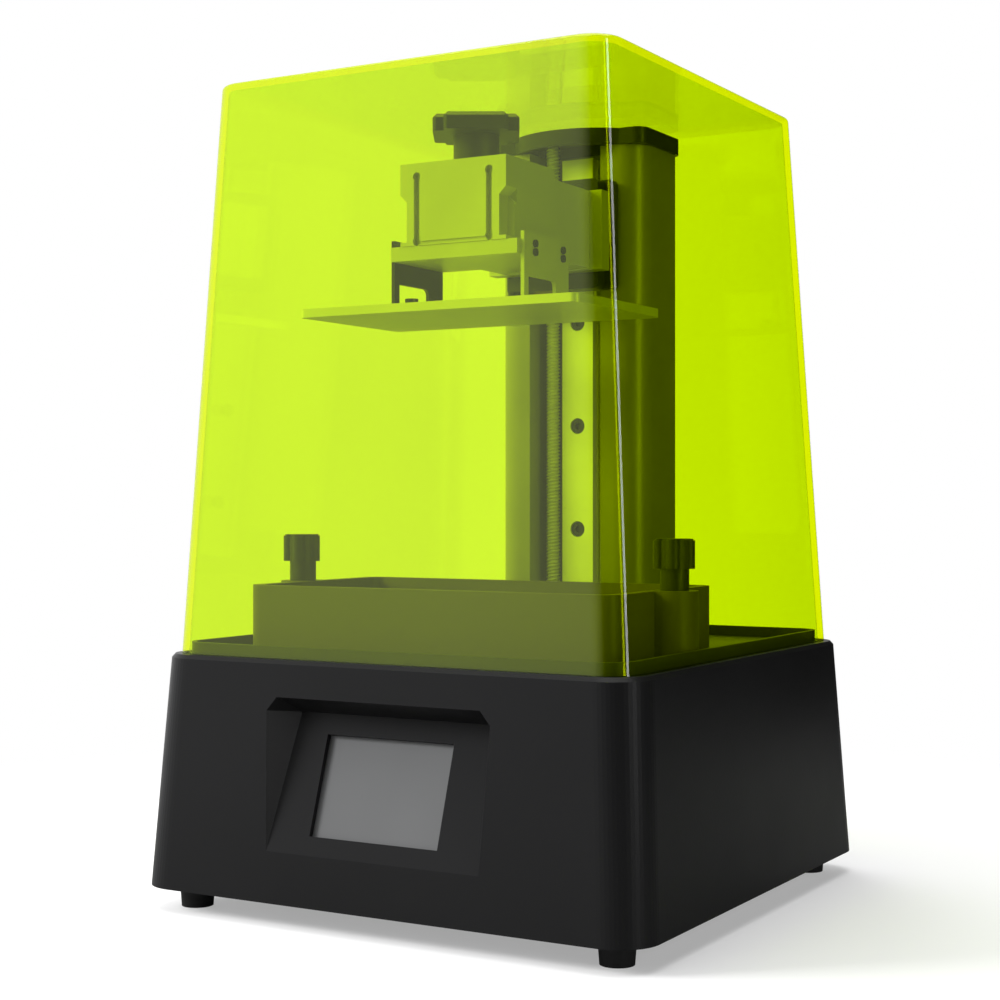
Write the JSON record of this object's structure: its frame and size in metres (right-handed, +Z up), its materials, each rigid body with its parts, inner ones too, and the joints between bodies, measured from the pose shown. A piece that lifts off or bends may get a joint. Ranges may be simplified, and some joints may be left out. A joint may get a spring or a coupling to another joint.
{
  "type": "desktop resin 3d printer",
  "caption": "Desktop masked-light resin printer: tapered base with sloping touch screen, tinted lift-off hood, resin vat and a build platform raised by a screw.",
  "frame": {"origin": "on the floor plane, centred under the base", "axes": "+Z up, -Y out of the front face with the touch screen, +X to the right seen from the front"},
  "size_m": [0.29, 0.292, 0.429],
  "materials": {
    "shell_black": "satin moulded black",
    "base_steel": "zinc-plated sheet",
    "foot_rubber": "matt black rubber",
    "screw_steel": "zinc-plated steel",
    "post_alloy": "turned alloy",
    "deck_black": "black powder coat",
    "screw_black": "black oxide steel",
    "screen_glass": "gloss grey cover glass",
    "board_green": "solder-masked circuit board",
    "ribbon": "pale flat cable",
    "lcd_glass": "dark masking display glass",
    "frame_black": "black tape",
    "led_board_white": "white metal-core board",
    "led_yellow": "phosphor and silicone",
    "lens_clear": "clear moulded lenses",
    "shroud_alloy": "bright folded sheet",
    "sink_alloy": "extruded alloy",
    "fan_black": "black moulded",
    "motor_black": "black enamelled steel",
    "bright_steel": "ground steel",
    "bronze": "bronze",
    "column_black": "black anodised extrusion",
    "cap_black": "black moulded",
    "switch_black": "black moulded",
    "inlet_black": "black moulded",
    "rocker_red": "red moulded",
    "usb_steel": "plated steel",
    "lead_black": "insulated wire",
    "carriage_black": "black anodised",
    "arm_alloy": "bead-blasted alloy",
    "knob_black": "black moulded",
    "plate_alloy": "blasted alloy",
    "hood_lime": "clear lime-tinted acrylic",
    "vat_black": "black moulded",
    "film_clear": "clear film",
    "clamp_alloy": "thin alloy frame"
  },
  "bodies": {
    "base": {"base_shell": "shell_black", "base_plate": "base_steel", "rubber_feet": "foot_rubber", "base_screws": "screw_steel", "chassis_posts": "post_alloy", "deck_plate": "deck_black", "deck_screws": "screw_black", "touch_screen": "screen_glass", "screen_board": "board_green", "screen_screws": "screw_steel", "screen_ribbon": "ribbon", "lcd_panel": "lcd_glass", "lcd_frame": "frame_black", "led_board": "led_board_white", "led_array": "led_yellow", "lens_array": "lens_clear", "light_shroud": "shroud_alloy", "heatsink": "sink_alloy", "fan_frame": "fan_black", "fan_screws": "screw_steel", "motor_body": "motor_black", "motor_screws": "screw_steel", "z_column": "column_black", "column_screws": "screw_steel", "column_cap": "cap_black", "cap_screws": "screw_steel", "linear_rail": "bright_steel", "rail_screws": "screw_black", "limit_switch": "switch_black", "mainboard": "board_green", "board_standoffs": "bronze", "power_inlet": "inlet_black", "switch_housing": "inlet_black", "usb_port": "usb_steel", "internal_leads": "lead_black"},
    "hood": {"hood_cover": "hood_lime"},
    "vat": {"vat_frame": "vat_black", "release_film": "film_clear", "film_clamp": "clamp_alloy", "film_screws": "screw_black"},
    "vat_screw_l": {"vat_screw_left": "knob_black"},
    "vat_screw_r": {"vat_screw_right": "knob_black"},
    "carriage": {"slide_block": "bright_steel", "lead_nut": "bronze", "nut_screws": "screw_steel", "carriage_plate": "carriage_black", "carriage_screws": "screw_black", "lift_arm": "arm_alloy"},
    "platform": {"clamp_box": "arm_alloy", "leg_left": "screw_black", "leg_right": "arm_alloy", "leg_screws": "screw_black", "levelling_screws": "screw_black", "build_plate": "plate_alloy"},
    "knob": {"platform_knob": "knob_black"},
    "screw": {"lead_screw": "bright_steel"},
    "fan": {"fan_rotor": "fan_black"},
    "rocker": {"power_rocker": "rocker_red"}
  },
  "joints": [
    {"name": "hood_lift", "type": "slide", "parent": "base", "child": "hood", "axis": [0, 0, 1], "range_m": [0, 0.31]},
    {"name": "z_slide", "type": "slide", "parent": "base", "child": "carriage", "axis": [0, 0, 1], "range_m": [-0.1715, 0.004]},
    {"name": "lead_screw_turn", "type": "hinge", "parent": "base", "child": "screw", "pos_m": [-0.0158, 0.0716, 0.25], "axis": [0, 0, 1], "range_deg": [-361, 15440]},
    {"name": "platform_slide", "type": "slide", "parent": "carriage", "child": "platform", "axis": [0, -1, 0], "range_m": [0, 0.028]},
    {"name": "platform_knob_turn", "type": "hinge", "parent": "platform", "child": "knob", "pos_m": [0, -0.0428, 0.4], "axis": [0, 0, 1], "range_deg": [0, 720]},
    {"name": "vat_lift", "type": "slide", "parent": "base", "child": "vat", "axis": [0, 0, 1], "range_m": [0, 0.015]},
    {"name": "vat_screw_left_turn", "type": "hinge", "parent": "vat", "child": "vat_screw_l", "pos_m": [-0.114, -0.0413, 0.17], "axis": [0, 0, 1], "range_deg": [0, 1080]},
    {"name": "vat_screw_right_turn", "type": "hinge", "parent": "vat", "child": "vat_screw_r", "pos_m": [0.114, -0.0413, 0.17], "axis": [0, 0, 1], "range_deg": [0, 1080]},
    {"name": "fan_spin", "type": "hinge", "parent": "base", "child": "fan", "pos_m": [-0.07, 0.124, 0.072], "axis": [0, 1, 0], "continuous": true},
    {"name": "power_rocker_tilt", "type": "hinge", "parent": "base", "child": "rocker", "pos_m": [0.0585, 0.138, 0.063], "axis": [1, 0, 0], "range_deg": [-6, 6]}
  ],
  "couplings": [
    {"joint": "lead_screw_turn", "follows": "z_slide", "rad_per_m": -1570.8}
  ]
}
